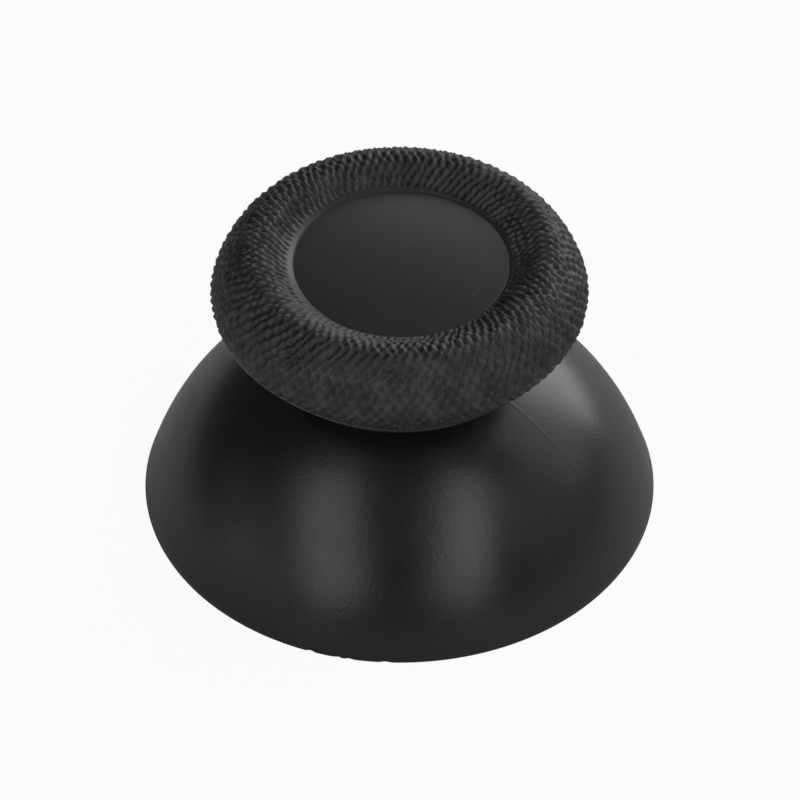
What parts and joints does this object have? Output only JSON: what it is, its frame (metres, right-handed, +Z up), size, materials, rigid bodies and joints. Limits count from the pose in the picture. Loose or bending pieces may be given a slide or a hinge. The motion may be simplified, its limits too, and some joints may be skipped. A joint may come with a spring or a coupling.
{
  "type": "thumbstick cap",
  "caption": "Mushroom-shaped thumbstick cap: domed hard skirt with a keyed socket inside, short neck, and a soft head with a knurled ring about a smooth disc.",
  "frame": {"origin": "centre of the skirt's rim, on the plane that the cap stands on", "axes": "+Z up along the cap's axis, from the open skirt to the head; the socket's two flats face +Y and -Y"},
  "size_m": [0.025, 0.025, 0.0153],
  "materials": {
    "hard_plastic": "satin moulded, black",
    "soft_rubber": "matt, finely knurled ring about a smooth disc, charcoal black"
  },
  "bodies": {
    "root": {"stick_body": "hard_plastic", "grip_cap": "soft_rubber"}
  },
  "joints": []
}
